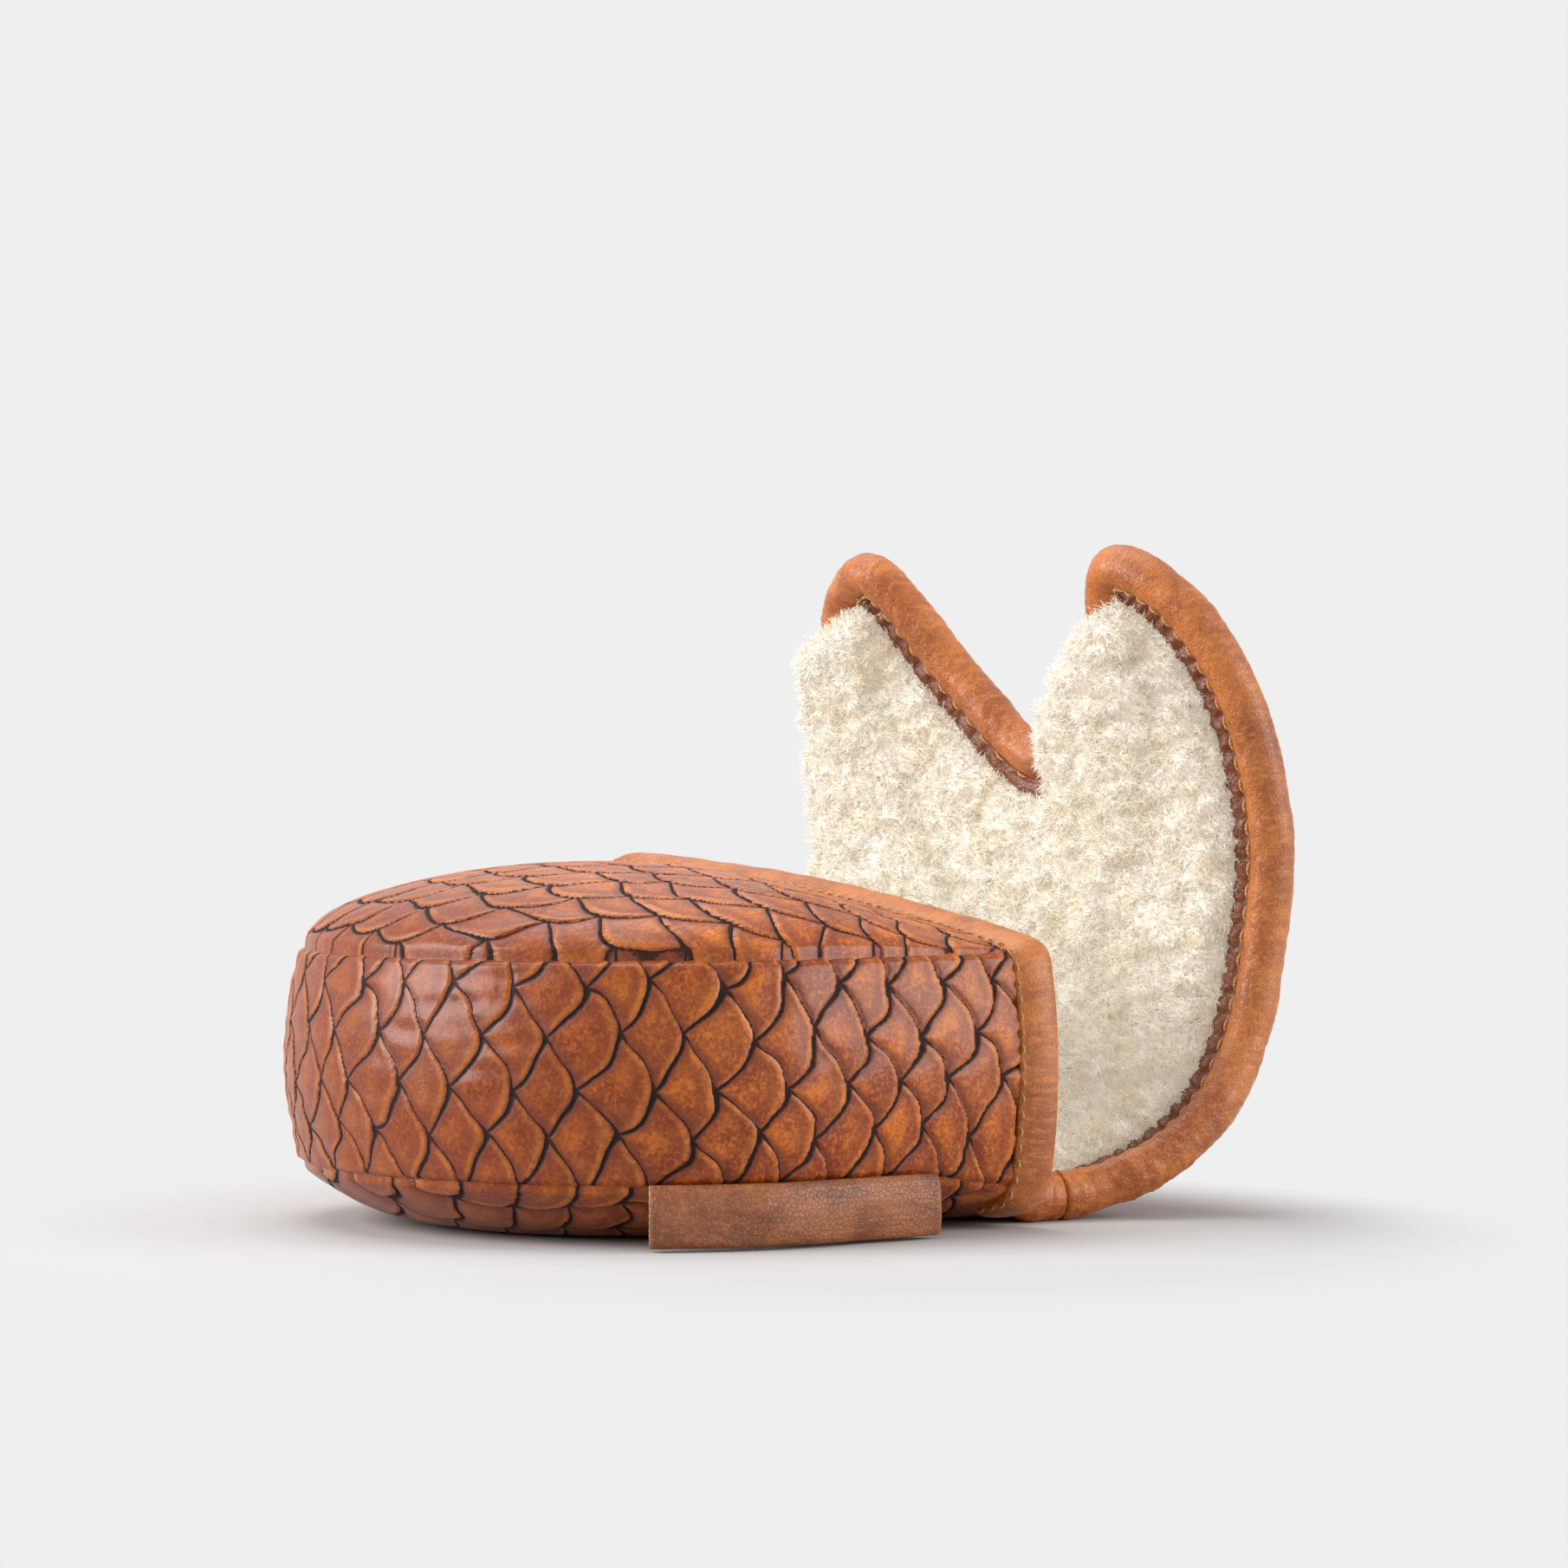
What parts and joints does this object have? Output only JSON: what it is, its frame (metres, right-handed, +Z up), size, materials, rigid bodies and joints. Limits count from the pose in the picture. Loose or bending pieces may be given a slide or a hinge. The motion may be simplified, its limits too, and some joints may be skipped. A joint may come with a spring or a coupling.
{
  "type": "putter head cover",
  "caption": "Mallet putter head cover: D-shaped embossed leather pouch with a fleece lining and a two-lobed, V-notched flap that folds over its top and holds by magnets.",
  "frame": {"origin": "on the floor, below the middle of the part's length and width", "axes": "+X from the pouch's round back to its mouth and flap, +Z up"},
  "size_m": [0.168, 0.13, 0.1222],
  "materials": {
    "embossed_leather": "semi-gloss, mottled, embossed with overlapping scales",
    "binding_leather": "smooth, semi-gloss",
    "tab_leather": "smooth, satin",
    "fleece": "curly wool pile",
    "padding": "soft felted padding",
    "tape": "woven cotton",
    "thread": "waxed thread",
    "magnet": "nickel plated"
  },
  "bodies": {
    "pouch": {"bottom_panel": "embossed_leather", "gusset": "embossed_leather", "top_panel": "embossed_leather", "bottom_padding": "padding", "gusset_padding": "padding", "top_padding": "padding", "bottom_lining": "fleece", "gusset_lining": "fleece", "top_lining": "fleece", "top_magnet_near": "magnet", "top_magnet_far": "magnet", "lower_seam_tape": "tape", "upper_seam_tape": "tape", "mouth_binding": "binding_leather", "mouth_binding_thread": "thread", "label_tab": "tab_leather", "label_tab_thread": "thread"},
    "flap_front": {"flap_front_leather": "embossed_leather", "flap_front_padding": "padding", "flap_front_lining": "fleece", "flap_front_edge_roll": "binding_leather", "flap_front_edge_cord": "tape", "flap_front_thread": "thread"},
    "flap_top": {"flap_top_leather": "embossed_leather", "flap_top_padding": "padding", "flap_top_lining": "fleece", "flap_top_edge_roll": "binding_leather", "flap_top_edge_cord": "tape", "flap_top_thread": "thread", "lobe_magnet_near": "magnet", "lobe_magnet_far": "magnet"}
  },
  "joints": [
    {"name": "flap_hinge", "type": "hinge", "parent": "pouch", "child": "flap_front", "pos_m": [0.0333, 0, 0.0025], "axis": [0, -1, 0], "range_deg": [0, 41], "stiffness_Nm_per_rad": 0.03, "springref_deg": -5.73},
    {"name": "flap_fold", "type": "hinge", "parent": "flap_front", "child": "flap_top", "pos_m": [0.08233, 0, 0.04733], "axis": [0, -1, 0], "range_deg": [0, 34.5], "stiffness_Nm_per_rad": 0.02, "springref_deg": -5.73}
  ],
  "couplings": [
    {"joint": "flap_fold", "follows": "flap_hinge", "ratio": 0.8293}
  ]
}
